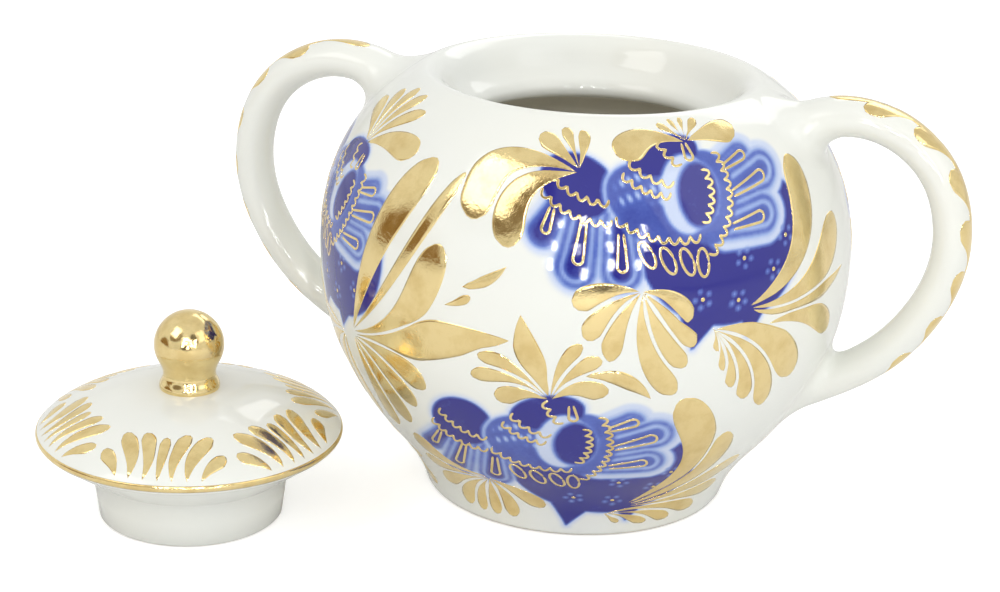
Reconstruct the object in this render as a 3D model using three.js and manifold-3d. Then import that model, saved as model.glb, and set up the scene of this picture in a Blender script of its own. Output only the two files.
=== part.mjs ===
// A lidded porcelain sugar bowl with two ear handles, millimetres, +Z up.
// The origin is the centre of the bowl's foot, on the table. +X runs through both handles.
// The lid stands on its own collar beside the open bowl.
import * as THREE from 'three';
import { mergeVertices } from 'three/addons/utils/BufferGeometryUtils.js';
import Module from 'manifold-3d';

// ---- driving dimensions ----
const BOWL_HEIGHT = 89.2;       // table to the crest of the mouth
const FOOT_OUTER_R = 31.9;
const FOOT_INNER_R = 28.6;
const FOOT_RECESS = 2.2;        // how far the base is raised inside the foot ring
const FLOOR_Z = 5.4;            // inside of the bowl's floor
const THROAT_R = 24;            // the narrowest place of the mouth, under the lid's seat

const HANDLE_THICK = 7.6;       // across the loop, seen from the front
const HANDLE_WIDE = 10.4;       // seen from the side
const JOIN_GAP = 0.3;           // slip joint between a cast piece and what it is luted to

const LID_CENTRE = [-67.8, -48.1];
const LID_TOP_Z = 27;           // the dome's flat centre, which carries the knob
const COLLAR_FOOT_R = 18.7;
const COLLAR_TOP_R = 19.9;
const COLLAR_HEIGHT = 9.4;
const COLLAR_INNER_R = 15.6;

const KNOB_BALL_R = 7.05;
const KNOB_BALL_Z = 36.15;
const KNOB_FOOT_R = 6.1;

const TURNED_SIDES = 48;        // facets round the bowl and the lid
const OUTSIDE_STEPS = 17;       // facets up the outside of the bowl
const KNOB_SIDES = 24;
const HANDLE_STEPS = 26;

// ---- outlines: radius and height of a turned piece, or the loop's middle line ----
const BOWL_OUTSIDE = [
  [FOOT_OUTER_R, 0.7], [33.4, 4.5], [37.2, 10.7], [43.0, 17.8], [48.7, 26.8], [53.2, 37.5], [55.0, 49.5],
  [54.5, 61.0], [51.4, 71.3], [46.4, 79.6], [41.0, 85.2], [36.8, 88.1], [33.6, BOWL_HEIGHT],
];
const BOWL_SEAT = [
  [33.6, BOWL_HEIGHT], [31.2, 88.0], [27.8, 82.8], [25.2, 80.7], [THROAT_R, 78.8], [25.8, 77.0],
];
const BOWL_INSIDE = [
  [25.8, 77.0], [31.5, 80.4], [36.8, 81.8], [42.6, 78.0], [48.0, 70.2], [51.0, 60.6], [51.5, 49.5],
  [49.6, 38.6], [45.2, 28.8], [39.2, 19.6], [32.0, 11.2], [24.0, 6.6], [12.0, FLOOR_Z],
];
const HANDLE_LINE = [
  [40.0, 81.0], [48.0, 85.0], [55.0, 85.9], [62.0, 84.3], [67.8, 80.7], [72.4, 75.0], [74.8, 68.0],
  [75.3, 61.0], [73.5, 52.6], [70.0, 45.6], [65.1, 39.2], [58.4, 33.6], [51.0, 29.4], [42.0, 25.8],
];
const LID_TOP = [
  [30.2, 16.9], [31.0, 17.9], [30.3, 19.1], [28.0, 20.9], [24.0, 22.9], [18.0, 25.1], [12.0, 26.5], [7.0, LID_TOP_Z],
];
const LID_HOLLOW = [
  [8.0, 24.0], [14.0, 23.2], [20.0, 21.4], [24.6, 19.3], [25.6, 17.6], [23.6, 15.4], [18.2, 11.4], [16.4, 8.6],
];
const KNOB_NECK = [
  [KNOB_FOOT_R - 0.2, LID_TOP_Z + JOIN_GAP], [KNOB_FOOT_R, 27.8], [5.5, 29.2], [5.3, 30.4], [5.6, 31.6],
];

// ---- materials ----
const porcelain = new THREE.MeshStandardMaterial({ color: 0xf1f1ec, roughness: 0.12, metalness: 0 });
const gold = new THREE.MeshStandardMaterial({ color: 0xd9a83f, roughness: 0.15, metalness: 1 });

// ---- helpers ----
const wasm = await Module();
wasm.setup();

function smooth(points, steps) {
  return new THREE.SplineCurve(points.map(([r, z]) => new THREE.Vector2(r, z))).getPoints(steps);
}

function corners(...points) {
  return points.map(([r, z]) => new THREE.Vector2(r, z));
}

// Positions only, with shared vertices merged and the slivers at the axis dropped.
function closed(geometry) {
  geometry.deleteAttribute('normal');
  geometry.deleteAttribute('uv');
  const merged = mergeVertices(geometry, 1e-4);
  const index = merged.index.array;
  const kept = [];
  for (let i = 0; i < index.length; i += 3) {
    const [a, b, c] = [index[i], index[i + 1], index[i + 2]];
    if (a !== b && b !== c && c !== a) kept.push(a, b, c);
  }
  merged.setIndex(kept);
  return merged;
}

// A turned solid about +Z. The outline runs anticlockwise, with the axis on its left.
function turned(outline, sides) {
  return closed(new THREE.LatheGeometry(outline, sides).rotateX(Math.PI / 2));
}

function toSolid(geometry) {
  return new wasm.Manifold(new wasm.Mesh({
    numProp: 3,
    vertProperties: new Float32Array(geometry.attributes.position.array),
    triVerts: new Uint32Array(geometry.index.array),
  }));
}

function toGeometry(solid) {
  const { vertProperties, triVerts } = solid.getMesh();
  const geometry = new THREE.BufferGeometry();
  geometry.setAttribute('position', new THREE.BufferAttribute(vertProperties, 3));
  geometry.setIndex(new THREE.BufferAttribute(triVerts, 1));
  return geometry;
}

function piece(name, geometry, material) {
  geometry.computeVertexNormals();
  const mesh = new THREE.Mesh(geometry, material);
  mesh.name = name;
  return mesh;
}

// ---- bowl ----
function bowlBody() {
  const outline = [
    ...corners([0, FOOT_RECESS], [FOOT_INNER_R - 1.4, FOOT_RECESS], [FOOT_INNER_R, 0], [FOOT_OUTER_R - 0.6, 0]),
    ...smooth(BOWL_OUTSIDE, OUTSIDE_STEPS),
    ...smooth(BOWL_SEAT, 8).slice(1),
    ...smooth(BOWL_INSIDE, 12).slice(1),
    ...corners([0, FLOOR_Z]),
  ];
  return piece('bowl_body', turned(outline, TURNED_SIDES), porcelain);
}

// The bowl's outer form as a full solid, larger by the slip joint, that trims the handles' ends.
function bowlClearance() {
  const wall = smooth(BOWL_OUTSIDE, OUTSIDE_STEPS).map((p) => new THREE.Vector2(p.x + JOIN_GAP, p.y));
  const outline = [...corners([0, -1], [FOOT_OUTER_R, -1]), ...wall, ...corners([0, BOWL_HEIGHT + JOIN_GAP])];
  return toSolid(turned(outline, TURNED_SIDES));
}

// ---- handles: an oval section along an ear-shaped loop, trimmed where it meets the bowl ----
function handle(name, side) {
  const line = new THREE.CatmullRomCurve3(HANDLE_LINE.map(([x, z]) => new THREE.Vector3(side * x, 0, z)));
  const section = new THREE.Shape().absellipse(0, 0, HANDLE_WIDE / 2, HANDLE_THICK / 2, 0, 2 * Math.PI);
  const loop = new THREE.ExtrudeGeometry(section, {
    extrudePath: line,
    steps: HANDLE_STEPS,
    curveSegments: 6,
    bevelEnabled: false,
  });
  return piece(name, toGeometry(toSolid(closed(loop)).subtract(bowlClearance())), porcelain);
}

// ---- lid: a shallow dome over a conical seat and a collar, cast hollow ----
function lidShell() {
  const outline = [
    ...corners([COLLAR_INNER_R + 0.4, 0], [COLLAR_FOOT_R - 0.3, 0], [COLLAR_FOOT_R, 0.3]),
    ...corners([COLLAR_TOP_R, COLLAR_HEIGHT]),
    ...smooth(LID_TOP, 12),
    ...corners([0, LID_TOP_Z], [0, LID_TOP_Z - 2.9]),
    ...smooth(LID_HOLLOW, 10),
    ...corners([COLLAR_INNER_R, 0.4], [COLLAR_INNER_R + 0.4, 0]),
  ];
  return piece('lid_shell', turned(outline, TURNED_SIDES), porcelain);
}

// ---- knob: a ball on a short waisted neck, gilded all over ----
function lidKnob() {
  const start = Math.asin((32.9 - KNOB_BALL_Z) / KNOB_BALL_R);
  const ball = [];
  const steps = 12;
  for (let i = 0; i < steps; i += 1) {
    const angle = start + ((Math.PI / 2 - start) * i) / steps;
    ball.push(new THREE.Vector2(KNOB_BALL_R * Math.cos(angle), KNOB_BALL_Z + KNOB_BALL_R * Math.sin(angle)));
  }
  const outline = [
    ...corners([0, LID_TOP_Z + JOIN_GAP]),
    ...smooth(KNOB_NECK, 7),
    ...ball,
    ...corners([0, KNOB_BALL_Z + KNOB_BALL_R]),
  ];
  return piece('lid_knob', turned(outline, KNOB_SIDES), gold);
}

// ---- assembly ----
const bowl = new THREE.Group();
bowl.add(bowlBody(), handle('handle_right', 1), handle('handle_left', -1));

const lid = new THREE.Group();
lid.add(lidShell(), lidKnob());
lid.position.set(...LID_CENTRE, 0);

const group = new THREE.Group();
group.add(bowl, lid);

export default group;
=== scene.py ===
"""A lidded porcelain sugar bowl, painted in cobalt under the glaze and in bright gold over it.

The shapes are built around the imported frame, in metres. Outlines and painted designs are written
in millimetres and scaled by MM. On a turned wall, a place is an azimuth in degrees (0 faces -Y,
90 faces +X) and a length along the wall's outline from its start.
"""

import math

import bpy
import numpy as np
from mathutils import Matrix, Vector


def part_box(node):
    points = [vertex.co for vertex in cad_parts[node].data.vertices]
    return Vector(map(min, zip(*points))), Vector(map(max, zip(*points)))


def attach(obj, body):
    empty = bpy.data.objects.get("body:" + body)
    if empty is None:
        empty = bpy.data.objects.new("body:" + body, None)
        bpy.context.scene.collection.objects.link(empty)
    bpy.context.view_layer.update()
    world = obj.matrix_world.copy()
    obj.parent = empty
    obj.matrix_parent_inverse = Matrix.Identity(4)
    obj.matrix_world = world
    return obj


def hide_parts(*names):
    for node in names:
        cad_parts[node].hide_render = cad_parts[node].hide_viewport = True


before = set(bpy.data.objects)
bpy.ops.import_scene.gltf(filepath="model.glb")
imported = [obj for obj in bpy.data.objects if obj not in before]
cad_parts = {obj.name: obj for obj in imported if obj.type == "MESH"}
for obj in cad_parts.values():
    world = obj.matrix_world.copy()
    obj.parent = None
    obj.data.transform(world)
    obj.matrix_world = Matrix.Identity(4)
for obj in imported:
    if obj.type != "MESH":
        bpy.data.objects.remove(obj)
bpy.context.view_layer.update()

# ---- driving dimensions, from the frame ----
BOWL_LOW, BOWL_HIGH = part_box("bowl_body")
LID_LOW, LID_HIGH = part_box("lid_shell")
BOWL_HEIGHT_MM = 89.2
MM = (BOWL_HIGH.z - BOWL_LOW.z) / BOWL_HEIGHT_MM
LID_X = (LID_LOW.x + LID_HIGH.x) / 2
LID_Y = (LID_LOW.y + LID_HIGH.y) / 2

# ---- outlines in mm: radius and height, or the handle's middle line in x and height ----
BOWL_UNDERSIDE = [(0, 2.2), (26.0, 2.2), (27.4, 1.9), (28.3, 0.4), (28.8, 0.0), (31.0, 0.0), (31.5, 0.15)]
BOWL_WALL = [
    (31.9, 0.7), (33.4, 4.5), (37.2, 10.7), (43.0, 17.8), (48.7, 26.8), (53.2, 37.5), (55.0, 49.5),
    (54.5, 61.0), (51.4, 71.3), (46.4, 79.6), (41.0, 85.2), (36.8, 88.1), (33.6, BOWL_HEIGHT_MM),
    (31.2, 88.0), (27.8, 82.8), (25.2, 80.7), (24.0, 78.8), (25.8, 77.0), (31.5, 80.4), (36.8, 81.8),
    (42.6, 78.0), (48.0, 70.2), (51.0, 60.6), (51.5, 49.5), (49.6, 38.6), (45.2, 28.8), (39.2, 19.6),
    (32.0, 11.2), (24.0, 6.6), (12.0, 5.4), (0.0, 5.4),
]
HANDLE_LINE = [
    (38.0, 79.6), (42.0, 82.0), (48.0, 84.9), (55.0, 85.9), (62.0, 84.3), (67.8, 80.7), (72.4, 75.0),
    (74.8, 68.0), (75.3, 61.0), (73.5, 52.6), (70.0, 45.6), (65.1, 39.2), (58.4, 33.6), (51.0, 29.4),
    (42.0, 25.4), (38.0, 23.9),
]
HANDLE_HALF_THICK = 3.8
HANDLE_HALF_WIDE = 5.2
LID_COLLAR = [(16.0, 0.0), (18.3, 0.0), (18.7, 0.35), (19.3, 5.0), (19.9, 9.4)]
LID_SEAT = [(19.9, 9.4), (25.0, 13.1), (29.6, 16.4)]
LID_DOME = [
    (29.6, 16.4), (30.7, 17.3), (31.0, 18.1), (30.4, 19.1), (28.0, 20.9), (24.0, 22.9), (18.0, 25.1),
    (12.0, 26.5), (7.0, 27.0), (0.0, 27.1),
]
LID_HOLLOW = [
    (0.0, 24.1), (8.0, 24.0), (14.0, 23.2), (20.0, 21.4), (24.6, 19.3), (25.6, 17.6), (23.6, 15.4),
    (18.2, 11.4), (16.4, 8.6), (15.7, 4.0), (15.6, 0.5),
]
KNOB_OUTLINE = [
    (6.05, 26.9), (6.12, 27.6), (5.85, 28.5), (5.4, 29.5), (5.35, 30.5), (5.7, 31.8), (6.25, 32.95),
    (6.85, 34.5), (7.05, 36.15), (6.75, 38.2), (5.6, 40.4), (3.5, 42.25), (1.6, 43.0), (0.0, 43.2),
]

# ---- colours, linear ----
GLAZE_WHITE = (0.765, 0.770, 0.715, 1)
GLAZE_COOL = (0.735, 0.755, 0.725, 1)
# lighter, warmer glaze for the bowl's inside: painted bounce light
GLAZE_PAINTED_GLOW = (0.86, 0.83, 0.74, 1)
BARE_CLAY = (0.64, 0.60, 0.52, 1)
COBALT_HAZE = (0.53, 0.60, 0.76, 1)
COBALT_WASH = (0.27, 0.37, 0.66, 1)
COBALT_MID = (0.085, 0.135, 0.46, 1)
COBALT_DEEP = (0.020, 0.019, 0.215, 1)
GOLD_BRIGHT = (0.85, 0.68, 0.34, 1)
GOLD_DULL = (0.74, 0.56, 0.25, 1)


# ---- curves ----
def smooth_curve(points, count):
    """A natural cubic spline through the points, as count evenly spaced points."""
    p = np.array(points, float)
    at = np.r_[0, np.cumsum(np.linalg.norm(np.diff(p, axis=0), axis=1))]
    h = np.diff(at)
    n = len(p)
    matrix = np.eye(n)
    right = np.zeros_like(p)
    for i in range(1, n - 1):
        matrix[i, i - 1 : i + 2] = h[i - 1], 2 * (h[i - 1] + h[i]), h[i]
        right[i] = 6 * ((p[i + 1] - p[i]) / h[i] - (p[i] - p[i - 1]) / h[i - 1])
    bend = np.linalg.solve(matrix, right)
    s = np.linspace(0, at[-1], count * 8)
    k = np.clip(np.searchsorted(at, s) - 1, 0, n - 2)
    a = ((at[k + 1] - s) / h[k])[:, None]
    b = 1 - a
    span = (h[k] ** 2)[:, None] / 6
    line = a * p[k] + b * p[k + 1] + ((a**3 - a) * bend[k] + (b**3 - b) * bend[k + 1]) * span
    return evenly(line, count)


def evenly(line, count):
    """The same line with count evenly spaced points."""
    line = np.asarray(line, float)
    at = lengths(line)
    s = np.linspace(0, at[-1], count)
    return np.stack([np.interp(s, at, c) for c in line.T], axis=-1)


def lengths(line):
    """The length along a line up to each of its points."""
    return np.r_[0, np.cumsum(np.linalg.norm(np.diff(line, axis=0), axis=1))]


def arch(start, end, bow, count):
    """A quadratic curve from start to end, bowed to its left by bow times its length."""
    a, c = np.array(start, float), np.array(end, float)
    along = c - a
    b = (a + c) / 2 + bow * 2 * np.array([-along[1], along[0]])
    t = np.linspace(0, 1, count)[:, None]
    return (1 - t) ** 2 * a + 2 * t * (1 - t) * b + t**2 * c


# ---- meshes ----
def mesh_object(name, vertices, faces, material):
    """A smooth-shaded object from vertices in metres."""
    mesh = bpy.data.meshes.new(name)
    mesh.from_pydata(np.asarray(vertices, float).tolist(), [], faces)
    mesh.polygons.foreach_set("use_smooth", [True] * len(mesh.polygons))
    mesh.materials.append(material)
    mesh.update()
    made = bpy.data.objects.new(name, mesh)
    bpy.context.scene.collection.objects.link(made)
    return made


def grid_faces(rows, columns, wrap=False):
    """Quads over a grid of vertices stored row by row, closed across the columns if wrap."""
    r = np.arange(rows - 1)[:, None]
    c = np.arange(columns if wrap else columns - 1)[None, :]
    d = (c + 1) % columns
    quads = np.stack([r * columns + c, r * columns + d, (r + 1) * columns + d, (r + 1) * columns + c], -1)
    return quads.reshape(-1, 4).tolist()


def turned_grid(outline, columns):
    """The rings of an outline in mm turned about +Z, as (rows, columns, 3)."""
    angle = np.linspace(0, 2 * np.pi, columns, endpoint=False)
    r, z = np.asarray(outline, float).T
    return np.stack([
        r[:, None] * np.sin(angle),
        -r[:, None] * np.cos(angle),
        np.repeat(z[:, None], columns, 1),
    ], -1)


def capped_rings(grid, first_tip, last_tip):
    """Vertices and faces of a closed body: rings (rows, columns, 3) and a tip for each end."""
    rows, columns = grid.shape[:2]
    vertices = np.vstack([grid.reshape(-1, 3), first_tip, last_tip])
    faces = grid_faces(rows, columns, wrap=True)
    ring = np.arange(columns)
    after = (ring + 1) % columns
    last = (rows - 1) * columns
    faces += np.stack([after, ring, np.full(columns, rows * columns)], -1).tolist()
    faces += np.stack([last + ring, last + after, np.full(columns, rows * columns + 1)], -1).tolist()
    return vertices, faces


def turned_object(name, outline, columns, material, centre=(0, 0)):
    """A turned solid. Its outline starts and ends on the axis, with the solid to its left."""
    outline = np.asarray(outline, float)
    first_tip, last_tip = (0, 0, outline[0, 1]), (0, 0, outline[-1, 1])
    vertices, faces = capped_rings(turned_grid(outline[1:-1], columns), first_tip, last_tip)
    return mesh_object(name, vertices * MM + np.array([*centre, 0]), faces, material)


def read_vertices(made, what):
    """One kind of vector of an object's vertices, its places or its normals."""
    flat = np.zeros(len(made.data.vertices) * 3)
    made.data.vertices.foreach_get(what, flat)
    return flat.reshape(-1, 3)


def set_attribute(made, name, values):
    """A number on each vertex, which a material can read."""
    attribute = made.data.attributes.new(name, "FLOAT", "POINT")
    attribute.data.foreach_set("value", np.asarray(values, np.float32))


# ---- surfaces that painted shapes lie on ----
class TurnedWall:
    """A turned surface, addressed by azimuth in degrees and length along its outline in mm.

    Its centre is in metres, as all places in the frame are.
    """

    def __init__(self, outline, centre=(0, 0)):
        self.outline = np.asarray(outline, float)
        self.at = lengths(self.outline)
        slope = np.gradient(self.outline, self.at, axis=0)
        slope /= np.linalg.norm(slope, axis=1)[:, None]
        self.normal = np.stack([slope[:, 1], -slope[:, 0]], -1)
        self.centre = centre

    def radius(self, along):
        return np.interp(along, self.at, self.outline[:, 0])

    def place(self, spots, lift):
        """Spots (azimuth, along) on the surface, raised by lift in mm, in metres."""
        angle = np.radians(spots[:, 0])
        r, z = (np.interp(spots[:, 1], self.at, c) for c in self.outline.T)
        out, up = (np.interp(spots[:, 1], self.at, c) for c in self.normal.T)
        r = r + lift * out
        z = z + lift * up
        return np.stack([
            r * MM * np.sin(angle) + self.centre[0],
            -r * MM * np.cos(angle) + self.centre[1],
            z * MM,
        ], -1)

    def from_flat(self, flat, azimuth, along):
        """A flat drawing in mm, laid on the wall round a place, keeping its widths."""
        y = flat[:, 1] + along
        return np.stack([azimuth + np.degrees(flat[:, 0] / self.radius(y)), y], -1)

    def to_flat(self, azimuth, along, at_azimuth, at_along):
        """Where a spot lies in a drawing laid round a place."""
        turn = (azimuth - at_azimuth + 180) % 360 - 180
        return np.radians(turn) * self.radius(along), along - at_along


# ---- gold: thin raised shapes that follow the surface under them ----
GOLD_RAISE = 0.055  # mm above the glaze, in the middle
GOLD_EDGE = 0.02  # mm above the glaze, at the edge
GOLD_ROOT = -0.06  # mm, under the glaze
GOLD_STAGGER = 0.004  # mm between shapes that cross
LEAF_LOW = 1.4  # mm along the wall, the lowest that gold reaches
LEAF_EDGE = 1.8  # mm that gold keeps below the mouth's crest
LEAF_GAP = 0.5
LEAF_STEP = 0.7  # mm between the points of a leaf
LEAF_LEAST = 0.03
BESIDE = 1.2  # mm along a leaf within which another lies beside it
FAR = 99.0
LEAF_PROFILES = {
    "drop": lambda t: t**0.85 * np.sqrt(np.maximum(1 - t**6, 0)) * 1.08,
    "blade": lambda t: np.sin(np.pi * t**0.8) ** 0.85,
}


def at_share(line, share):
    """Points at shares of a line's length."""
    at = lengths(line)
    return np.stack([np.interp(share * at[-1], at, c) for c in line.T], -1)


def left_of(line):
    """The direction to the left of a flat line at each of its points."""
    step = np.gradient(line, axis=0)
    step /= np.maximum(np.linalg.norm(step, axis=1), 1e-9)[:, None]
    return np.stack([-step[:, 1], step[:, 0]], -1)


def half_widths(shape, width, count):
    """A leaf's half width at evenly spaced shares of its length."""
    return LEAF_PROFILES[shape](np.linspace(0, 1, count)) * width / 2


def room_beside(line, half, others):
    """How far a leaf may spread to its left and right, sharing each gap with its neighbours by width."""
    side = left_of(line)
    ahead = np.stack([side[:, 1], -side[:, 0]], -1)
    room = np.repeat(half[None], 2, 0)
    for other, other_half in others:
        apart = other[None] - line[:, None]
        along = np.abs((apart * ahead[:, None]).sum(-1))
        across = (apart * side[:, None]).sum(-1)
        share = half[:, None] / (half[:, None] + other_half[None] + 1e-6)
        for k, sign in enumerate((1, -1)):
            beside = (along < BESIDE) & (across * sign > 0)
            reach = np.where(beside, (across * sign - LEAF_GAP) * share, FAR).min(1)
            room[k] = np.minimum(room[k], reach)
    return [eased(row) for row in room]


def eased(row, reach=3):
    """A row of limits without sudden steps."""
    padded = np.pad(row, reach, mode="edge")
    return np.convolve(padded, np.ones(2 * reach + 1) / (2 * reach + 1), "valid")


class GoldSheet:
    """Collects gold shapes on one surface and makes one mesh of them."""

    def __init__(self, to_space):
        self.to_space = to_space
        self.vertices = []
        self.faces = []
        self.count = 0
        self.shapes = 0

    def strip(self, middle, left, right, across, lay):
        """A closed slab along a flat middle line. lay takes flat points to the surface's own places."""
        side = left_of(middle)
        share = np.linspace(-1, 1, across)
        reach = np.where(share > 0, left[:, None] * share, right[:, None] * share)
        flat = middle[:, None] + side[:, None] * reach[..., None]
        spots = lay(flat.reshape(-1, 2))
        swell = (1 - share**2)[None, :] * np.minimum((left + right)[:, None] / 1.8, 1)
        edge = GOLD_EDGE + GOLD_STAGGER * (self.shapes % 4)
        top = self.to_space(spots, (edge + (GOLD_RAISE - GOLD_EDGE) * swell).ravel())
        root = self.to_space(spots, GOLD_ROOT)
        self.add_slab(top, root, len(middle), across)

    def add_slab(self, top, root, rows, across):
        """The top and root sheets of a shape, joined round their edge."""
        n = rows * across
        rim = np.r_[
            np.arange(across),
            np.arange(1, rows) * across + across - 1,
            (rows - 1) * across + np.arange(across - 2, -1, -1),
            np.arange(rows - 2, 0, -1) * across,
        ]
        after = np.roll(rim, -1)
        lower = np.array(grid_faces(rows, across)) + n
        upper = lower[:, ::-1] - n
        wall = np.stack([rim, after, after + n, rim + n], -1)
        self.vertices += [top, root]
        self.faces += (np.vstack([upper, lower, wall]) + self.count).tolist()
        self.count += 2 * n
        self.shapes += 1

    def leaf(self, middle, width, lay, shape="drop", others=()):
        """A leaf along a flat middle line from its stem to its tip, kept off the other middle lines."""
        rows = int(np.clip(lengths(middle)[-1] / LEAF_STEP, 14, 48))
        t = np.linspace(0, 1, rows) ** 0.9
        t = 0.5 * t + 0.5 * np.sin(t * np.pi / 2)
        line = at_share(middle, t)
        half = LEAF_PROFILES[shape](t) * width / 2
        room = room_beside(line, half, others)
        left, right = (np.clip(r, LEAF_LEAST, np.maximum(half, LEAF_LEAST)) for r in room)
        across = int(np.clip(width / LEAF_STEP, 5, 13))
        self.strip(line, left, right, across | 1, lay)

    def ribbon(self, line, lay, half_width=0.27, spacing=0.3):
        """A drawn line of even width with rounded ends."""
        line = evenly(line, max(int(lengths(line)[-1] / spacing), 6))
        ends = np.minimum(np.arange(len(line)), np.arange(len(line))[::-1])
        half = half_width * np.clip(0.35 + ends * 0.4, 0, 1)
        self.strip(line, half, half, 5, lay)

    def dot(self, centre, radius, lay):
        """A round drop of gold."""
        line = np.stack([centre[0] + np.linspace(-radius, radius, 9), np.full(9, centre[1])], -1)
        half = radius * np.sqrt(np.maximum(1 - np.linspace(-1, 1, 9) ** 2, 0.01))
        self.strip(line, half, half, 5, lay)

    def finish(self, name, material):
        return mesh_object(name, np.vstack(self.vertices), self.faces, material)


# ---- cobalt: how much pigment lies at each place of a flat drawing in mm ----
def oval(x, y, cx, cy, a, b, turn=0):
    """About how far outside an oval a point is."""
    c, s = math.cos(math.radians(turn)), math.sin(math.radians(turn))
    u, v = (x - cx) * c + (y - cy) * s, -(x - cx) * s + (y - cy) * c
    k = np.hypot(u / a, v / b)
    return (k - 1) * np.hypot(u, v) / np.maximum(k, 0.05)


def drop(x, y, base, tip, base_r, tip_r):
    """How far outside a drop from base to tip a point is."""
    (bx, by), (tx, ty) = base, tip
    dx, dy = tx - bx, ty - by
    t = np.clip(((x - bx) * dx + (y - by) * dy) / (dx * dx + dy * dy), 0, 1)
    return np.hypot(x - bx - t * dx, y - by - t * dy) - (base_r + (tip_r - base_r) * t)


def cover(distance, soft):
    """From 1 inside to 0 outside, over twice soft."""
    t = np.clip(0.5 - distance / (2 * soft), 0, 1)
    return t * t * (3 - 2 * t)


def lay_pigment(ink, distance, level, soft=0.58):
    """Pigment of that level over what is there, inside the shape."""
    share = cover(distance, soft)
    return ink * (1 - share) + level * share


def ringed_petal(ink, distance, core, level):
    """A petal of pale and darker rings round a darker core."""
    rings = 0.40 - 0.13 * np.cos(2 * np.pi * (-distance - 0.2) / 2.0)
    ink = lay_pigment(ink, distance, rings, 0.55)
    return lay_pigment(ink, distance + core, level, 0.8)


# ovals have a centre, two half axes and a turn; points and petals have a base, a tip and a half width
FRUIT = (9.5, -2.4, 18.8, 16.2, 0)
FRUIT_POINTS = [((3.0, -14.0), (1.6, -22.6), 5.6), ((14.5, -13.0), (13.8, -21.4), 5.6)]
FAN = [((9.0, 11.2), (14.8, 13.6), 3.3), ((10.0, 7.2), (19.6, 9.8), 4.6), ((9.0, 0.6), (18.0, 1.4), 4.4)]
HANGING = [
    ((-23.0, 5.0), (-27.0, -0.6), 3.4),
    ((-18.4, 4.0), (-21.2, -6.6), 4.5),
    ((-12.4, 2.0), (-12.6, -7.0), 4.5),
]
CUP = (-19.0, 9.2, 6.9, 6.5, 0)
SHAWL = (-6.6, 6.8, 7.4, 6.8, -20)
BELLY = (-3.4, 1.6, 9.0, 3.8, -8)
CROWN = (-1.4, 15.4, 7.4, 4.1, 16)
BAND = (5.6, 6.4, 6.3, 9.4, -4)
HALO = (1.6, 7.4, 5.2, 7.9, -8)
BUD = (4.0, 7.0, 3.9, 6.1, -6)
FLOWERS = [(23.4, -3.6), (12.4, -6.2), (19.6, -9.4), (3.2, -13.0), (11.0, -14.0)]


FLOWER_PETALS = 5
FLOWER_RADIUS = 1.6
PETAL_RADIUS = 0.55
FLOWER_DOT = 0.42


def bloom(x, y):
    """A folk bloom: a round fruit with two points, a fan of ringed petals, a bud and a hanging cup."""
    ink = np.zeros_like(x)
    fruit = oval(x, y, *FRUIT)
    for base, tip, size in FRUIT_POINTS:
        fruit = np.minimum(fruit, drop(x, y, base, tip, size, 0.2))
    ink = lay_pigment(ink, fruit, 0.95)
    fan = np.full_like(x, FAR)
    for base, tip, size in FAN:
        fan = np.minimum(fan, drop(x, y, base, tip, size * 0.8, size))
    ink = lay_pigment(ink, fan - 1.7, 0.13, 0.8)
    for base, tip, size in FAN:
        ink = ringed_petal(ink, drop(x, y, base, tip, size * 0.8, size), size - 1.5, 0.62)
    hanging = np.full_like(x, FAR)
    for base, tip, size in HANGING:
        petal = drop(x, y, base, tip, size * 0.8, size)
        ink = ringed_petal(ink, petal, size - 1.9, 0.88)
        hanging = np.minimum(hanging, petal)
    cup = oval(x, y, *CUP)
    ink = lay_pigment(ink, cup, 0.93)
    shawl = oval(x, y, *SHAWL)
    ink = lay_pigment(ink, shawl - 0.8, 0.16, 0.7)
    dashes = 0.5 + 0.5 * np.cos(2 * np.pi * (x * 0.94 + y * 0.34) / 1.7)
    dashes *= 0.5 + 0.5 * np.cos(2 * np.pi * (y * 0.94 - x * 0.34) / 3.2)
    ink = lay_pigment(ink, shawl, 0.62 - 0.46 * dashes * cover(shawl + 1.6, 1.2), 0.6)
    ink = lay_pigment(ink, oval(x, y, *BELLY), 0.66, 0.9)
    ink = lay_pigment(ink, oval(x, y, *BAND), 0.60, 0.7)
    ink = lay_pigment(ink, oval(x, y, *CROWN), 0.93)
    ink = lay_pigment(ink, oval(x, y, *HALO), 0.05, 0.8)
    ink = lay_pigment(ink, oval(x, y, *BUD) - 0.8, 0.45, 0.7)
    ink = lay_pigment(ink, oval(x, y, *BUD), 0.93, 0.5)
    for fx, fy in FLOWERS:
        for k in range(FLOWER_PETALS):
            a = 2 * math.pi * k / FLOWER_PETALS + fx
            px, py = fx + FLOWER_RADIUS * math.cos(a), fy + FLOWER_RADIUS * math.sin(a)
            ink = lay_pigment(ink, np.hypot(x - px, y - py) - PETAL_RADIUS, 0.42, 0.45)
    whole = np.minimum.reduce([fruit, fan, hanging, cup, shawl, oval(x, y, *CROWN)])
    return np.maximum(ink, 0.14 * cover(whole - 1.0, 1.5))


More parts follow.
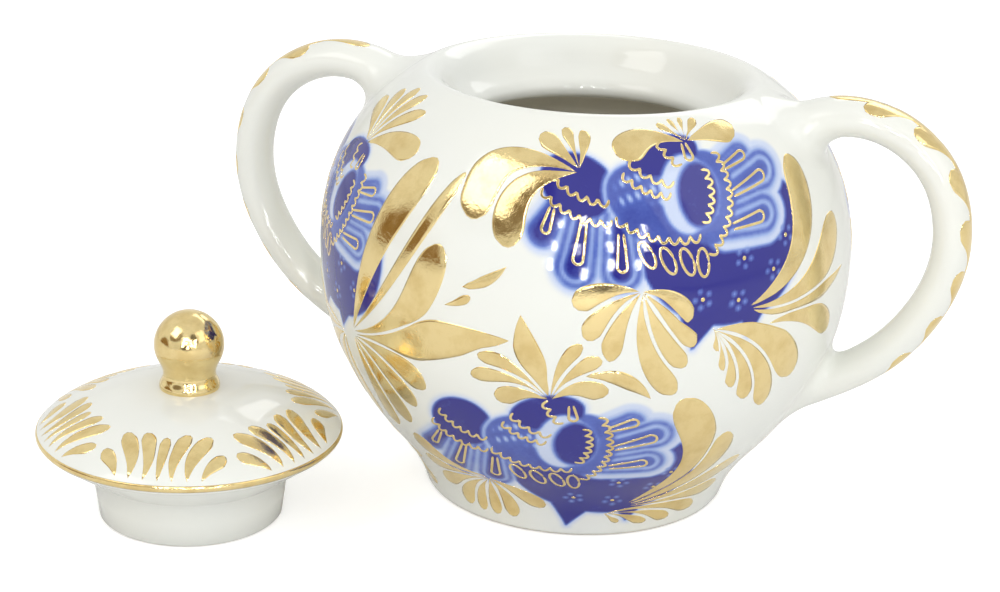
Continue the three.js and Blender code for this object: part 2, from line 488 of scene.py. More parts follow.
# ---- gold drawn on a bloom, in the same flat drawing ----
SCALLOPS = [  # start, end, bow, how many, which side the scallops hang
    ((-23.6, 11.6), (-13.6, 6.4), -0.12, 6, -1),
    ((-25.6, 8.0), (-13.6, 2.6), -0.12, 7, -1),
    ((-12.6, 3.2), (3.2, -0.6), -0.10, 8, -1),
    ((-8.0, 14.4), (-0.6, 9.8), -0.10, 4, -1),
    ((-9.8, 11.8), (-1.6, 7.6), -0.10, 5, -1),
    ((-1.2, 18.4), (1.8, 13.2), -0.06, 3, -1),
    ((5.4, 11.6), (3.8, 1.6), 0.12, 6, 1),
    ((8.4, 14.8), (4.6, -4.4), 0.16, 11, 1),
]
LOOPS = [  # stem, tip and width of a long loop
    ((-24.4, 4.4), (-26.2, 0.2), 1.6),
    ((-18.8, 2.2), (-20.6, -5.0), 1.9),
    ((-12.2, 0.0), (-12.4, -6.2), 1.9),
    ((10.4, 11.6), (15.2, 13.4), 2.0),
    ((11.4, 6.2), (18.8, 8.6), 2.4),
    ((10.4, 0.0), (17.0, 1.0), 2.2),
    ((3.2, 17.6), (3.6, 14.6), 1.7),
]
EYES = [((-7.6, -4.0), 26), ((-3.6, -5.2), 24), ((0.2, -5.6), 20), ((3.4, -6.0), 4)]  # middle and turn
EYE_HALF = (1.15, 2.7)
SCALLOP_DEPTH = 1.45
SCALLOP_POINTS = 14


def scallop_line(start, end, bow, count, side):
    """A row of small arcs along a bowed line."""
    line = arch(start, end, bow, count * SCALLOP_POINTS)
    t = np.linspace(0, count, len(line))
    depth = side * SCALLOP_DEPTH * np.abs(np.sin(np.pi * t)) ** 0.7
    return line + left_of(line) * depth[:, None]


def loop_line(stem, tip, width):
    """A long thin loop, open at its stem."""
    stem, tip = np.array(stem, float), np.array(tip, float)
    along = (tip - stem) / np.linalg.norm(tip - stem)
    across = np.array([-along[1], along[0]]) * width / 2
    bend = np.linspace(np.pi / 2, -np.pi / 2, 9)[:, None]
    turn = tip + across * np.sin(bend) + along * width / 2 * np.cos(bend)
    return np.vstack([stem + across * 0.5, turn, stem - across * 0.5])


def eye_line(centre, turn):
    """A closed narrow oval."""
    a = np.linspace(0, 2 * np.pi, 26)
    c, s = math.cos(math.radians(turn)), math.sin(math.radians(turn))
    u, v = EYE_HALF[0] * np.cos(a), EYE_HALF[1] * np.sin(a)
    return np.stack([centre[0] + u * c - v * s, centre[1] + u * s + v * c], -1)


def bloom_gold(sheet, lay):
    """Every gold line and dot of one bloom."""
    for row in SCALLOPS:
        sheet.ribbon(scallop_line(*row), lay, spacing=0.22)
    for row in LOOPS:
        sheet.ribbon(loop_line(*row), lay)
    for centre, turn in EYES:
        sheet.ribbon(eye_line(centre, turn), lay)
    for centre in FLOWERS:
        sheet.dot(centre, FLOWER_DOT, lay)


# ---- gold leaves on the bowl ----
# a stem's azimuth and length along the wall, then each leaf's tip, width, bow and, if not a drop, shape
SPRAYS = [
    # over the high bloom
    ((42.4, 95.3), [
        (24.4, 91.6, 6.2, -0.24), (35.6, 99.8, 3.2, -0.06), (39.8, 101.0, 2.8, 0.0),
        (43.8, 101.2, 2.6, 0.0), (48.6, 100.6, 2.8, 0.04), (59.6, 96.0, 6.0, 0.08),
    ]),
    # over its cup, with two big leaves hanging down
    ((14.0, 89.4), [
        (2.5, 96.4, 4.8, -0.06), (8.8, 98.6, 4.2, -0.03), (13.8, 98.2, 3.8, 0.0),
        (-8.6, 77.4, 7.4, -0.33), (0.6, 73.2, 6.6, -0.27),
    ]),
    # under it on the left
    ((27.6, 66.6), [
        (14.4, 63.4, 5.2, -0.10), (17.4, 56.8, 4.8, -0.12), (22.0, 52.6, 4.4, -0.10),
        (36.2, 45.2, 4.8, -0.12), (37.6, 51.0, 4.4, -0.06), (39.0, 55.0, 4.2, 0.04),
        (37.4, 60.0, 4.8, 0.16),
    ]),
    # under it on the right
    ((42.8, 58.6), [
        (44.6, 53.4, 2.4, 0.05), (46.4, 49.0, 3.0, 0.07), (49.2, 44.8, 3.8, 0.09),
        (53.6, 41.2, 4.8, 0.11), (60.0, 38.0, 5.2, 0.14), (67.0, 43.6, 7.2, 0.15),
    ]),
    ((56.0, 57.4), [(80.0, 50.4, 5.6, 0.12)]),
    # up its right side
    ((51.0, 60.6), [
        (72.4, 88.4, 7.4, -0.22), (82.8, 74.0, 8.0, -0.18), (85.0, 62.4, 3.0, -0.06, "blade"),
    ]),
    # over the low bloom
    ((10.4, 43.9), [
        (-0.8, 42.2, 5.0, -0.18), (-6.2, 47.0, 3.6, -0.14), (-4.6, 51.6, 3.8, -0.10),
        (4.2, 60.8, 4.6, 0.06, "blade"), (16.4, 56.0, 3.4, 0.06), (20.6, 52.8, 4.4, 0.12),
        (22.2, 45.8, 5.6, 0.20),
    ]),
    ((17.0, 49.6), [(31.0, 44.4, 2.8, 0.14, "blade")]),
    # under it on the left
    ((-9.0, 15.6), [
        (-29.4, 24.6, 5.2, 0.20), (-33.8, 15.4, 5.4, 0.06), (-32.4, 7.4, 5.0, -0.06),
        (-23.8, 2.6, 4.4, -0.12), (-17.4, 2.2, 3.8, -0.10), (-11.6, 2.2, 3.6, -0.04),
        (-5.2, 2.6, 3.8, 0.06), (6.8, 7.2, 4.8, 0.04),
    ]),
    # up its right side
    ((34.0, 8.2), [
        (37.4, 43.4, 8.0, -0.26), (53.0, 32.4, 6.4, -0.16), (66.0, 21.0, 5.8, -0.10),
        (70.0, 9.6, 5.2, 0.0),
    ]),
    ((26.6, 6.2), [
        (32.6, 3.0, 2.0, 0.04), (43.4, 2.4, 3.6, 0.07), (53.0, 2.4, 4.2, 0.09),
        (64.0, 3.6, 4.6, 0.10),
    ]),
    # over the side bloom
    ((-51.0, 84.4), [
        (-64.0, 92.6, 5.0, -0.10), (-57.4, 97.4, 4.0, -0.04), (-50.0, 99.6, 3.6, 0.0),
        (-42.4, 99.0, 3.4, 0.03), (-36.0, 95.4, 3.6, 0.06), (-29.6, 86.4, 6.0, 0.12),
    ]),
    # right of it, up and across the front
    ((-40.4, 46.4), [
        (-22.4, 87.4, 7.8, -0.02), (-13.2, 86.0, 3.2, -0.10), (-14.6, 71.6, 7.4, -0.19),
        (2.0, 55.4, 7.2, 0.02, "blade"), (-18.0, 40.6, 6.2, 0.12), (-23.0, 34.4, 5.6, 0.14),
        (-28.8, 28.0, 5.6, 0.12), (-36.8, 24.4, 5.2, 0.06),
    ]),
    ((-12.2, 60.2), [(-6.4, 62.9, 2.0, -0.05)]),
    ((-8.6, 64.3), [(0.6, 69.6, 1.9, -0.08, "blade")]),
    # left of it
    ((-45.4, 45.4), [
        (-45.6, 24.0, 4.4, -0.05), (-54.6, 26.4, 4.6, -0.10), (-63.4, 31.4, 5.0, -0.14),
        (-72.6, 42.0, 6.2, -0.14), (-80.6, 54.0, 6.6, 0.10), (-81.6, 68.0, 5.6, 0.16),
    ]),
    # low, between the blooms
    ((-57.0, 8.6), [
        (-43.0, 3.4, 3.6, -0.10), (-42.0, 12.6, 4.4, 0.06), (-46.4, 20.2, 4.2, 0.08),
        (-57.0, 23.0, 4.0, 0.0), (-68.4, 19.8, 4.4, -0.08), (-76.0, 11.8, 4.6, -0.06),
        (-73.0, 3.2, 4.0, 0.10),
    ]),
]
# each bloom's azimuth, length along the wall, turn in degrees and size
BLOOMS = [(37.0, 77.2, 0, 1.0), (11.4, 25.0, 0, 1.0), (-54.5, 67.5, -10, 0.88)]
REPEATS = (0, 180)  # the whole painting goes round twice
LEAF_FULLNESS = 1.3
BLOOM_REACH = (38, 34)  # mm sideways and upwards, past which a bloom has no pigment
NEIGHBOUR_REACH = 45  # mm within which leaves are kept off each other


def turned_flat(flat, turn, size=1.0):
    """A flat drawing turned about its own middle and sized."""
    c, s = math.cos(math.radians(turn)), math.sin(math.radians(turn))
    return flat @ (np.array([[c, s], [-s, c]]) * size)


def all_blooms():
    """Every bloom on the bowl."""
    return [(azimuth + turn, *rest) for turn in REPEATS for azimuth, *rest in BLOOMS]


def paint_bowl(azimuth, along, wall):
    """The cobalt at each place of the bowl's wall."""
    ink = np.zeros_like(azimuth)
    for at_azimuth, at_along, lean, size in all_blooms():
        x, y = wall.to_flat(azimuth, along, at_azimuth, at_along)
        near = (np.abs(x) < BLOOM_REACH[0]) & (np.abs(y) < BLOOM_REACH[1])
        flat = turned_flat(np.stack([x[near], y[near]], -1), -lean, 1 / size)
        ink[near] = np.maximum(ink[near], bloom(flat[:, 0], flat[:, 1]))
    return ink


def wall_layer(wall, azimuth, along, lean=0, size=1.0):
    """A function that lays flat points in mm on the wall round a place."""
    def lay(flat):
        spots = wall.from_flat(turned_flat(flat, lean, size), azimuth, along)
        spots[:, 1] = np.clip(spots[:, 1], LEAF_LOW, wall.at[-1] - LEAF_EDGE)
        return spots
    return lay


def leaf_line(wall, azimuth, along, tip_azimuth, tip_along, bow):
    """The middle line of a leaf, in flat mm round its stem."""
    tip = wall.to_flat(tip_azimuth, tip_along, azimuth, along)
    return arch((0.04 * tip[0], 0.04 * tip[1]), tip, bow, 40)


def bowl_leaves(sheet, wall):
    """All the gold leaves of the bowl, each kept clear of its neighbours."""
    drawn = []
    for turn in REPEATS:
        for (azimuth, along), leaves in SPRAYS:
            for tip_azimuth, tip_along, width, bow, *shape in leaves:
                line = leaf_line(wall, azimuth, along, tip_azimuth, tip_along, bow)
                spots = wall.from_flat(line, azimuth + turn, along)
                shape = shape[0] if shape else "drop"
                drawn.append((azimuth + turn, along, line, width * LEAF_FULLNESS, shape, spots))
    for this in drawn:
        azimuth, along, line, width, shape, _ = this
        others = []
        for other in drawn:
            flat = np.stack(wall.to_flat(other[5][:, 0], other[5][:, 1], azimuth, along), -1)
            if other is not this and np.linalg.norm(flat, axis=1).min() < NEIGHBOUR_REACH:
                others.append((flat, half_widths(other[4], other[3], len(flat))))
        sheet.leaf(line, width, wall_layer(wall, azimuth, along), shape, others)


# ---- the handle: an oval section along its line, flowing into the bowl at both ends ----
HANDLE_ROWS = 150
HANDLE_AROUND = 56
HANDLE_ANGLES = np.linspace(0, -2 * np.pi, HANDLE_AROUND, endpoint=False)
HANDLE_GROWTH = 0.22  # how much stouter the handle is at its ends
GROWTH_REACH = 13.0
FILLET_ROWS = 15
FILLET_TOP = 6.0  # mm that the upper join spreads over the wall
FILLET_LOW = 5.0
SKIRT_SINK = 0.02
CAP_DEPTH = 3.0  # mm that the handle's ends reach into the wall


class HandleLoop:
    """The surface of one handle, addressed by length along its line and by angle round it."""

    def __init__(self, side):
        line = smooth_curve(HANDLE_LINE, 400)
        self.side = side
        self.line = line
        self.at = lengths(line)
        step = np.gradient(line, self.at, axis=0)
        step /= np.linalg.norm(step, axis=1)[:, None]
        self.out = np.stack([-step[:, 1], step[:, 0]], -1)
        ends = np.minimum(self.at, self.at[-1] - self.at)
        self.grow = 1 + HANDLE_GROWTH * np.exp(-((ends / GROWTH_REACH) ** 2))

    def point(self, at, angle, lift=0.0):
        """In mm. Angle 0 faces out of the loop, 90 degrees faces +Y."""
        x, z, ox, oz, grow = (
            np.interp(at, self.at, c) for c in (*self.line.T, *self.out.T, self.grow)
        )
        thick, wide = HANDLE_HALF_THICK * grow, HANDLE_HALF_WIDE * grow
        c, s = np.cos(angle), np.sin(angle)
        nx, ny = c / thick, s / wide
        size = np.hypot(nx, ny)
        radial = thick * c + lift * nx / size
        across = wide * s + lift * ny / size
        return np.stack([self.side * (x + radial * ox), self.side * across, z + radial * oz], -1)

    def place(self, spots, lift):
        """Spots (along, round the section in mm from its spine), in metres."""
        angle = spots[:, 1] / ((HANDLE_HALF_THICK + HANDLE_HALF_WIDE) / 2)
        return self.point(spots[:, 0], angle, lift) * MM


def wall_distance(points, wall):
    """How far each point in mm is outside the bowl's wall, and the wall's outward direction there."""
    flat = np.stack([np.hypot(points[:, 0], points[:, 1]), points[:, 2]], -1)
    gap = np.linalg.norm(flat[:, None] - wall.outline[None], axis=2)
    nearest = gap.argmin(1)
    normal = wall.normal[nearest]
    distance = ((flat - wall.outline[nearest]) * normal).sum(1)
    around = points[:, :2] / flat[:, :1]
    return distance, np.column_stack([around * normal[:, :1], normal[:, 1]])


def leave_wall(line, at, reach, wall):
    """Where a line along the handle leaves the wall, the point reach beyond that, and its place along."""
    distance, _ = wall_distance(line, wall)
    outside = int(np.argmax(distance > 0))
    share = -distance[outside - 1] / (distance[outside] - distance[outside - 1])
    corner = line[outside - 1] + share * (line[outside] - line[outside - 1])
    tail = np.vstack([corner, line[outside:]])
    tail_at = np.r_[at[outside - 1] + share * (at[outside] - at[outside - 1]), at[outside:]]
    span = lengths(tail)
    start = np.array([np.interp(reach, span, c) for c in tail.T])
    return corner, start, np.interp(reach, span, tail_at)


def fillet_rows(corners, starts, reach, wall):
    """Rings that lead from the handle onto the wall and meet it without a crease."""
    _, normal = wall_distance(corners, wall)
    away = corners - corners.mean(0)
    away -= (away * normal).sum(1)[:, None] * normal
    away /= np.linalg.norm(away, axis=1)[:, None]
    skirt = corners + reach * away
    distance, normal = wall_distance(skirt, wall)
    skirt -= distance[:, None] * normal
    outwards = starts - corners
    outwards /= np.linalg.norm(outwards, axis=1)[:, None]
    rise = ((skirt - corners) * normal).sum(1) / (outwards * normal).sum(1)
    bends = corners + np.clip(rise, 0, reach / 3)[:, None] * outwards
    skirt -= SKIRT_SINK * normal
    bends -= SKIRT_SINK * normal
    share = 1 - (1 - np.linspace(0, 1, FILLET_ROWS)[1:]) ** 1.4
    return [(1 - u) ** 2 * starts + 2 * u * (1 - u) * bends + u**2 * skirt for u in share]


def handle_end(loop, at, reach, wall):
    """The ring where the plain handle starts, its places along, and the fillet's rings."""
    lines = [loop.point(at, np.full(len(at), angle)) for angle in HANDLE_ANGLES]
    left = [leave_wall(line, at, reach, wall) for line in lines]
    corners, starts, starts_at = (np.array(c) for c in zip(*left))
    return starts, starts_at, fillet_rows(corners, starts, reach, wall)


def cap_tip(ring, wall):
    """The point inside the wall that closes a handle's end."""
    hub = ring.mean(0)
    _, normal = wall_distance(hub[None], wall)
    return hub - CAP_DEPTH * normal[0]


def handle_object(name, loop, wall, material):
    """A closed handle whose ends spread onto the wall in smooth fillets."""
    at = np.linspace(loop.at[0], loop.at[-1], HANDLE_ROWS * 3)
    half = len(at) // 2
    top_starts, top_at, top_rows = handle_end(loop, at[:half], FILLET_TOP, wall)
    low_starts, low_at, low_rows = handle_end(loop, at[::-1][:half], FILLET_LOW, wall)
    shares = np.linspace(0, 1, HANDLE_ROWS)[1:-1]
    middle = [loop.point(top_at + (low_at - top_at) * share, HANDLE_ANGLES) for share in shares]
    grid = np.array([*top_rows[::-1], top_starts, *middle, low_starts, *low_rows])
    vertices, faces = capped_rings(grid, cap_tip(grid[0], wall), cap_tip(grid[-1], wall))
    handle = mesh_object(name, vertices * MM, faces, material)
    shade_onto_wall(handle, grid, wall)
    return handle


def shade_onto_wall(handle, grid, wall):
    """Gives the handle's edge rings the wall's own shading, so that the joins don't show."""
    normals = read_vertices(handle, "normal")
    last = (len(grid) - 1) * HANDLE_AROUND
    for row, first in ((0, 0), (-1, last)):
        _, normals[first : first + HANDLE_AROUND] = wall_distance(grid[row], wall)
    handle.data.normals_split_custom_set_from_vertices(normals.tolist())


SPINE_LEAF = 10.4  # a leaf's length on the handle
SPINE_SPACING = 9.4
SPINE_SPREAD = 3.9
SPINE_WIDTH = 6.4
SPINE_FIRST = 32.6
SPINE_END = 14  # mm of the handle's low end that stay white
SPINE_STAGGER = 2.4  # mm that one side's leaves are ahead of the other's


def handle_leaves(sheet, loop):
    """Leaves on both sides of the handle's spine, tips towards the mouth."""
    sheet.leaf(arch((24.0, 0.2), (13.0, 0.8), 0.06, 24), 4.6, lambda flat: flat)
    for stem in np.arange(SPINE_FIRST, loop.at[-1] - SPINE_END, SPINE_SPACING):
        for side in (-1, 1):
            start = (stem + SPINE_STAGGER * side, 0.2 * side)
            tip = (start[0] - SPINE_LEAF, SPINE_SPREAD * side)
            sheet.leaf(arch(start, tip, 0.14 * side, 24), SPINE_WIDTH, lambda flat: flat)


# ---- the lid's gold ----
LID_FANS = 6
LID_FANS_TURN = 14  # degrees from the front to the first fan
LID_FANS_START = 0.6  # mm from the rim
LID_LEAF_POINTS = 24
LID_FAN = [  # stem and tip in mm sideways and inwards from the rim, and width
    (-8.6, -12.6, 5.8, 5.0), (-5.8, -8.6, 11.6, 5.6), (-2.9, -4.3, 12.6, 5.4), (0.0, 0.0, 11.8, 5.0),
    (2.9, 4.3, 12.6, 5.4), (5.8, 8.6, 11.6, 5.6), (8.6, 12.6, 5.8, 5.0),
]


def lid_leaves(sheet, wall, rim_at):
    """Fans of leaves that start at the rim and spread towards the knob."""
    lines = [
        (arch((stem_x, 0.9), (tip_x, tip_y), 0.10 * np.sign(tip_x), LID_LEAF_POINTS), width)
        for stem_x, tip_x, tip_y, width in LID_FAN
    ]
    for k in range(LID_FANS):
        lay = dome_layer(wall, 360 / LID_FANS * k + LID_FANS_TURN, rim_at)
        for this in lines:
            rest = [other for other in lines if other is not this]
            others = [(line, half_widths("drop", width, LID_LEAF_POINTS)) for line, width in rest]
            sheet.leaf(*this, lay, others=others)


def dome_layer(wall, azimuth, along):
    """A function that lays flat points in mm on the lid round a place."""
    return lambda flat: wall.from_flat(flat, azimuth, along)


# ---- materials ----
def new_material(name):
    """A material with its node tree and its main shader."""
    material = bpy.data.materials.new(name)
    material.use_nodes = True
    tree = material.node_tree
    return material, tree, tree.nodes["Principled BSDF"]


def add_node(tree, kind, values=None, **inputs):
    """A node with its settings and inputs. An input goes by name or as i0, i1, and may be an output."""
    node = tree.nodes.new(kind)
    for key, value in (values or {}).items():
        setattr(node, key, value)
    for key, value in inputs.items():
        by_number = key[0] == "i" and key[1:].isdigit()
        socket = node.inputs[int(key[1:]) if by_number else key.replace("_", " ")]
        if isinstance(value, bpy.types.NodeSocket):
            tree.links.new(value, socket)
        else:
            socket.default_value = value
    return node


def noise(tree, scale, detail=3.0, roughness=0.5):
    """Noise in the object's own coordinates, scale in cycles per metre."""
    place = add_node(tree, "ShaderNodeTexCoord").outputs["Object"]
    settings = {"Vector": place, "Scale": scale, "Detail": detail, "Roughness": roughness}
    return add_node(tree, "ShaderNodeTexNoise", **settings).outputs["Fac"]


def ramp(tree, factor, stops):
    """A colour ramp with the given stops."""
    node = add_node(tree, "ShaderNodeValToRGB", Fac=factor)
    elements = node.color_ramp.elements
    while len(elements) < len(stops):
        elements.new(0.5)
    for element, (position, colour) in zip(elements, stops):
        element.position = position
        element.color = colour
    return node.outputs["Color"]


def math_node(tree, operation, a, b, c=0.0):
    """Arithmetic on two or three numbers."""
    return add_node(tree, "ShaderNodeMath", {"operation": operation}, i0=a, i1=b, i2=c).outputs[0]


def mix(tree, share, a, b):
    """Colour a, or b where share is 1."""
    return add_node(tree, "ShaderNodeMix", {"data_type": "RGBA"}, i0=share, i6=a, i7=b).outputs[2]


def painted_number(tree, name):
    """A number that the vertices carry."""
    return add_node(tree, "ShaderNodeAttribute", {"attribute_name": name}).outputs["Fac"]


def bump(tree, strength, depth, height, over=None):
    """A normal that follows height, with its depth in metres, over another bump if given."""
    node = add_node(tree, "ShaderNodeBump", Strength=strength, Distance=depth, Height=height)
    if over:
        tree.links.new(over, node.inputs["Normal"])
    return node.outputs[0]


def grey(value):
    return (value, value, value, 1)


COBALT_TONES = [
    (0.0, GLAZE_WHITE), (0.13, COBALT_HAZE), (0.30, COBALT_WASH), (0.52, COBALT_MID), (0.88, COBALT_DEEP),
]
GLAZE_ROUGH = (0.045, 0.085)
CLAY_ROUGH = 0.62
GLAZE_IOR = 1.53
GOLD_ROUGH = (0.07, 0.20)


def porcelain_colour(tree, bare):
    """White glaze, painted lighter and warmer inside the bowl as painted bounce light, cobalt where the
    wall carries it, and clay at the foot.
    """
    mottle = math_node(tree, "MULTIPLY_ADD", noise(tree, 260, 4), 0.42, 0.79)
    cloud = math_node(tree, "MULTIPLY_ADD", noise(tree, 1500, 2), 0.16, 0.92)
    strength = math_node(tree, "MULTIPLY", painted_number(tree, "cobalt"), mottle)
    strength = math_node(tree, "MULTIPLY", strength, cloud)
    glaze = ramp(tree, noise(tree, 22, 2), [(0.3, GLAZE_WHITE), (0.7, GLAZE_COOL)])
    # the bowl's inside is painted lighter and warmer: painted bounce light
    glaze = mix(tree, painted_number(tree, "painted_glow"), glaze, GLAZE_PAINTED_GLOW)
    painted = ramp(tree, strength, [(0.0, grey(0)), (0.10, grey(1))])
    colour = mix(tree, painted, glaze, ramp(tree, strength, COBALT_TONES))
    return mix(tree, bare, colour, BARE_CLAY)


def porcelain_material():
    """Clear glossy glaze with slight waves over white porcelain, matt where the clay is bare."""
    material, tree, shader = new_material("glazed_porcelain")
    bare = painted_number(tree, "bare")
    tree.links.new(porcelain_colour(tree, bare), shader.inputs["Base Color"])
    polish = ramp(tree, noise(tree, 90, 3), [(0.3, grey(GLAZE_ROUGH[0])), (0.75, grey(GLAZE_ROUGH[1]))])
    tree.links.new(mix(tree, bare, polish, grey(CLAY_ROUGH)), shader.inputs["Roughness"])
    wave = bump(tree, 0.22, 0.0006, noise(tree, 75, 2, 0.4))
    grain = bump(tree, 0.05, 0.0002, noise(tree, 900, 2), wave)
    tree.links.new(grain, shader.inputs["Normal"])
    shader.inputs["IOR"].default_value = GLAZE_IOR
    return material


def gold_material():
    """Bright gold, brushed on by hand: thinner and duller in places."""
    material, tree, shader = new_material("bright_gold")
    tone = ramp(tree, noise(tree, 190, 4, 0.6), [(0.32, GOLD_DULL), (0.56, GOLD_BRIGHT)])
    tree.links.new(tone, shader.inputs["Base Color"])
    polish = ramp(tree, noise(tree, 420, 4, 0.6), [(0.3, grey(GOLD_ROUGH[0])), (0.72, grey(GOLD_ROUGH[1]))])
    tree.links.new(polish, shader.inputs["Roughness"])
    wave = bump(tree, 0.30, 0.0005, noise(tree, 140, 2, 0.5))
    grain = bump(tree, 0.12, 0.0002, noise(tree, 1700, 3), wave)
    tree.links.new(grain, shader.inputs["Normal"])
    shader.inputs["Metallic"].default_value = 1.0
    return material


FLOOR_GLOW = 0.45


def floor_material():
    """A matt pale surface that looks as white as paper from the camera."""
    material, tree, shader = new_material("pale_floor")
    tone = ramp(tree, noise(tree, 3, 2), [(0.3, grey(0.80)), (0.7, grey(0.82))])
    tree.links.new(tone, shader.inputs["Base Color"])
    shader.inputs["Roughness"].default_value = 0.7
    shader.inputs["Emission Color"].default_value = (1, 1, 1, 1)
    seen = add_node(tree, "ShaderNodeLightPath").outputs["Is Camera Ray"]
    tree.links.new(math_node(tree, "MULTIPLY", seen, FLOOR_GLOW), shader.inputs["Emission Strength"])
    return material


# ---- camera, floor and light ----
CAMERA_PLACE = (0.1237, -0.4313, 0.2000)
CAMERA_HEADING = 18.21  # degrees
CAMERA_TILT = -19.65
CAMERA_ROLL = 1.98
CAMERA_LENS = 81.3
FLOOR_HALF = 3.0
FLOOR_DROP = 0.0001
SHADE_EDGE = 0.012
LAMP_ROWS, LAMP_COLUMNS = 3, 4
LAMP_AIM = (0.01, -0.04, 0.06)
LAMP_SIZE = (0.030, 0.095)
LAMP_POWER = 0.34


def add_camera():
    """The camera, looking at the set from above and to its right."""
    data = bpy.data.cameras.new("camera")
    data.lens = CAMERA_LENS
    data.sensor_width = 36
    data.clip_start, data.clip_end = 0.02, 20
    camera = bpy.data.objects.new("camera", data)
    turn = Matrix.Rotation(math.radians(CAMERA_HEADING), 4, "Z")
    tilt = Matrix.Rotation(math.radians(90 + CAMERA_TILT), 4, "X")
    roll = Matrix.Rotation(math.radians(CAMERA_ROLL), 4, "Z")
    camera.matrix_world = Matrix.Translation(CAMERA_PLACE) @ turn @ tilt @ roll
    bpy.context.scene.collection.objects.link(camera)
    bpy.context.scene.camera = camera


def add_area(name, place, target, size, power):
    """A rectangular soft light that isn't seen itself."""
    data = bpy.data.lights.new(name, "AREA")
    data.shape = "RECTANGLE"
    data.size, data.size_y = size
    data.energy = power
    light = bpy.data.objects.new(name, data)
    aim = (Vector(target) - Vector(place)).to_track_quat("-Z", "Y")
    light.matrix_world = Matrix.Translation(place) @ aim.to_matrix().to_4x4()
    light.visible_camera = False
    bpy.context.scene.collection.objects.link(light)


ROOM_SHADES = [  # direction, how wide as a cosine, and tone of the darker parts of the room
    ((-0.38, -0.66, 0.65), 0.955, (0.30, 0.24, 0.17, 1)),
    ((-0.88, -0.47, -0.02), 0.960, (0.34, 0.22, 0.10, 1)),
    ((0.27, -0.95, 0.18), 0.985, (0.10, 0.09, 0.09, 1)),
    ((0.60, -0.55, 0.58), 0.975, (0.22, 0.21, 0.20, 1)),
]
ROOM_LIGHT = 0.92


def add_world():
    """A bright white studio with a few darker things in it, for the gold to reflect."""
    world = bpy.data.worlds.new("studio")
    world.use_nodes = True
    tree = world.node_tree
    background = tree.nodes["Background"]
    direction = add_node(tree, "ShaderNodeTexCoord").outputs["Generated"]
    cloud = add_node(tree, "ShaderNodeTexNoise", Vector=direction, Scale=2.4, Detail=2.0).outputs["Fac"]
    tone = ramp(tree, cloud, [(0.30, (0.86, 0.86, 0.84, 1)), (0.62, (1.0, 1.0, 0.985, 1))])
    for towards, width, shade in ROOM_SHADES:
        aim = add_node(tree, "ShaderNodeVectorMath", {"operation": "DOT_PRODUCT"}, i0=direction, i1=towards)
        wobble = math_node(tree, "MULTIPLY", cloud, 0.05)
        facing = math_node(tree, "ADD", aim.outputs["Value"], wobble)
        share = ramp(tree, facing, [(width, grey(0)), (width + SHADE_EDGE, grey(1))])
        tone = mix(tree, share, tone, shade)
    tree.links.new(tone, background.inputs["Color"])
    background.inputs["Strength"].default_value = ROOM_LIGHT
    bpy.context.scene.world = world


def add_lamps():
    """Small bright lamps up in front, which the glaze shows as short dashes."""
    rng = np.random.default_rng(7)
    for row in range(LAMP_ROWS):
        for column in range(LAMP_COLUMNS):
            across = (column - 1.5) * 0.24 + rng.uniform(-0.07, 0.07)
            height = 0.22 + 0.23 * row + rng.uniform(-0.06, 0.06)
            place = (0.34 + 0.88 * across, -0.86 + 0.40 * across, height)
            add_area(f"lamp_{row}_{column}", place, LAMP_AIM, LAMP_SIZE, LAMP_POWER)


def add_stage():
    """The floor, the room round it and every light."""
    signs = ((-1, -1), (1, -1), (1, 1), (-1, 1))
    corners = [(x * FLOOR_HALF, y * FLOOR_HALF, -FLOOR_DROP) for x, y in signs]
    floor = mesh_object("floor", corners, [(0, 1, 2, 3)], floor_material())
    add_world()
    add_lamps()
    add_area("key", (-0.55, -0.70, 0.95), (0, 0, 0.04), (0.6, 0.6), 2.8)
    add_area("fill", (0.75, -0.25, 0.7), (0, 0, 0.05), (0.6, 0.6), 1.0)
    add_area("back", (0.1, 0.9, 0.8), (0, 0, 0.05), (0.8, 0.5), 1.8)
    bpy.context.scene.view_settings.view_transform = "Standard"


# ---- the object ----
BOWL_COLUMNS = 720
BOWL_WALL_ROWS = 262
BOWL_INSIDE_ROWS = 76
LID_COLUMNS = 320
KNOB_COLUMNS = 128
RIM_LINE_HALF = 0.75
RIM_LINE_DROP = 0.15  # mm that the line's middle lies below the rim's widest place
RIM_LINE_STEPS = 360
BOWL_BARE = (28.0, 0.5)  # the unglazed foot: mm outside this radius, below this height
LID_BARE = (15.0, 0.2)


def mark_bare_foot(made, centre, inner_radius, height):
    """Marks the unglazed ring the piece stands on."""
    place = read_vertices(made, "co") / MM
    radius = np.hypot(place[:, 0] - centre[0] / MM, place[:, 1] - centre[1] / MM)
    set_attribute(made, "bare", ((place[:, 2] < height) & (radius > inner_radius)).astype(float))


def mark_painted_inside_glow(made, inner, first):
    """Marks the rings below the mouth's narrowest place, the bowl's inside, where the glaze is painted
    lighter and warmer as painted bounce light.
    """
    narrowest = int(np.argmin(inner[: len(inner) // 2, 0]))
    rings = np.clip((np.arange(len(inner)) - narrowest) / 2, 0, 1)[1:-1]
    # how much painted bounce light each vertex of the bowl's inside gets
    painted_glow = np.zeros(len(made.data.vertices))
    painted_glow[first : first + len(rings) * BOWL_COLUMNS] = np.repeat(rings, BOWL_COLUMNS)
    painted_glow[-1] = 1
    set_attribute(made, "painted_glow", painted_glow)


def enrol(made, body, node=None):
    """Gives a piece its body, and hides the CAD part it replaces."""
    if node:
        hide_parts(node)
    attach(made, body)


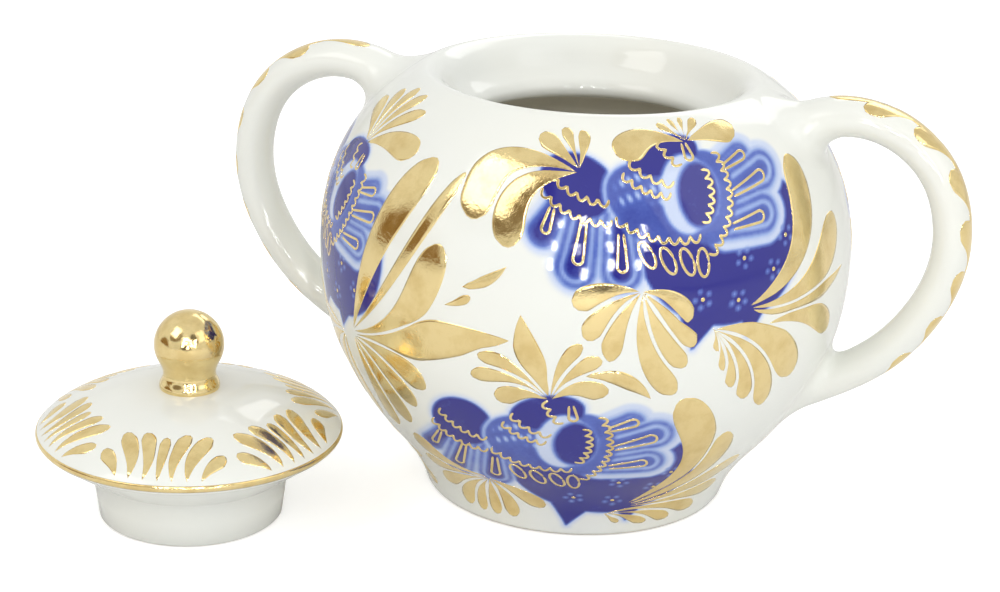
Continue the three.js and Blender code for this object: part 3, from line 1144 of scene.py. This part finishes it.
def make_bowl(porcelain, gold):
    """The bowl and everything painted on its wall. Returns the wall."""
    curve = smooth_curve(BOWL_WALL, 1600)
    crest = int(np.argmax(curve[:, 1]))
    outer = evenly(curve[: crest + 1], BOWL_WALL_ROWS)
    inner = evenly(curve[crest:], BOWL_INSIDE_ROWS)
    inner[-1, 0] = 0
    wall = TurnedWall(outer)
    outline = np.vstack([BOWL_UNDERSIDE, outer, inner[1:]])
    bowl = turned_object("bowl_porcelain", outline, BOWL_COLUMNS, porcelain)

    azimuth = np.tile(np.linspace(0, 360, BOWL_COLUMNS, endpoint=False), len(outer))
    along = np.repeat(wall.at, BOWL_COLUMNS)
    first = (len(BOWL_UNDERSIDE) - 1) * BOWL_COLUMNS
    ink = np.zeros(len(bowl.data.vertices))
    ink[first : first + len(azimuth)] = paint_bowl(azimuth, along, wall)
    set_attribute(bowl, "cobalt", ink)
    # the bowl's inside gets painted bounce light
    mark_painted_inside_glow(bowl, inner, first + len(azimuth))
    mark_bare_foot(bowl, (0, 0), *BOWL_BARE)
    enrol(bowl, "bowl", "bowl_body")

    leaves = GoldSheet(wall.place)
    bowl_leaves(leaves, wall)
    enrol(leaves.finish("bowl_gold_leaves", gold), "bowl")

    lines = GoldSheet(wall.place)
    for place in all_blooms():
        bloom_gold(lines, wall_layer(wall, *place))
    enrol(lines.finish("bowl_gold_lines", gold), "bowl")
    return wall


def make_handles(wall, porcelain, gold):
    """Both handles with their gold leaves."""
    for side, label in ((1, "right"), (-1, "left")):
        loop = HandleLoop(side)
        handle = handle_object(f"handle_{label}_porcelain", loop, wall, porcelain)
        enrol(handle, "bowl", f"handle_{label}")
        spine = GoldSheet(loop.place)
        handle_leaves(spine, loop)
        enrol(spine.finish(f"handle_{label}_gold", gold), "bowl")


def make_lid(porcelain, gold):
    """The lid standing on its collar, its gold, and its gilded knob."""
    centre = (LID_X, LID_Y)
    dome = smooth_curve(LID_DOME, 90)
    dome[-1, 0] = 0
    below = np.vstack([LID_COLLAR[:-1], smooth_curve(LID_SEAT, 12)[:-1]])
    hollow = smooth_curve(LID_HOLLOW, 50)
    hollow[0, 0] = 0
    outline = np.vstack([hollow, below, dome])
    lid = turned_object("lid_porcelain", outline, LID_COLUMNS, porcelain, centre)
    mark_bare_foot(lid, centre, *LID_BARE)
    enrol(lid, "lid", "lid_shell")

    wall = TurnedWall(dome, centre)
    rim_at = float(wall.at[np.argmax(dome[:, 0])])
    leaves = GoldSheet(wall.place)
    lid_leaves(leaves, wall, rim_at + LID_FANS_START)
    enrol(leaves.finish("lid_gold_leaves", gold), "lid")
    enrol(rim_line("lid_gold_rim", wall, rim_at - RIM_LINE_DROP, gold), "lid")

    knob_curve = smooth_curve(KNOB_OUTLINE, 96)
    knob_curve[-1, 0] = 0
    knob_line = np.vstack([[(0, KNOB_OUTLINE[0][1])], knob_curve])
    knob = turned_object("lid_knob_gilded", knob_line, KNOB_COLUMNS, gold, centre)
    enrol(knob, "lid", "lid_knob")


def rim_line(name, wall, along, material):
    """The gold line round the lid's rim, a closed ring."""
    turns = np.linspace(0, 360, RIM_LINE_STEPS, endpoint=False)
    share = np.linspace(-1, 1, 7)
    lift = 0.02 + 0.04 * (1 - share**2)
    section = [(along + RIM_LINE_HALF * u, h) for u, h in zip(share, lift)]
    section += [(along + RIM_LINE_HALF * u, GOLD_ROOT) for u in share[::-1]]
    rings = [wall.place(np.stack([turns, np.full(RIM_LINE_STEPS, s)], -1), h) for s, h in section]
    faces = grid_faces(len(rings) + 1, RIM_LINE_STEPS, wrap=True)
    faces = (np.array(faces) % (RIM_LINE_STEPS * len(rings))).tolist()
    return mesh_object(name, np.vstack(rings), faces, material)


add_camera()
add_stage()
porcelain = porcelain_material()
gold = gold_material()
bowl_wall = make_bowl(porcelain, gold)
make_handles(bowl_wall, porcelain, gold)
make_lid(porcelain, gold)
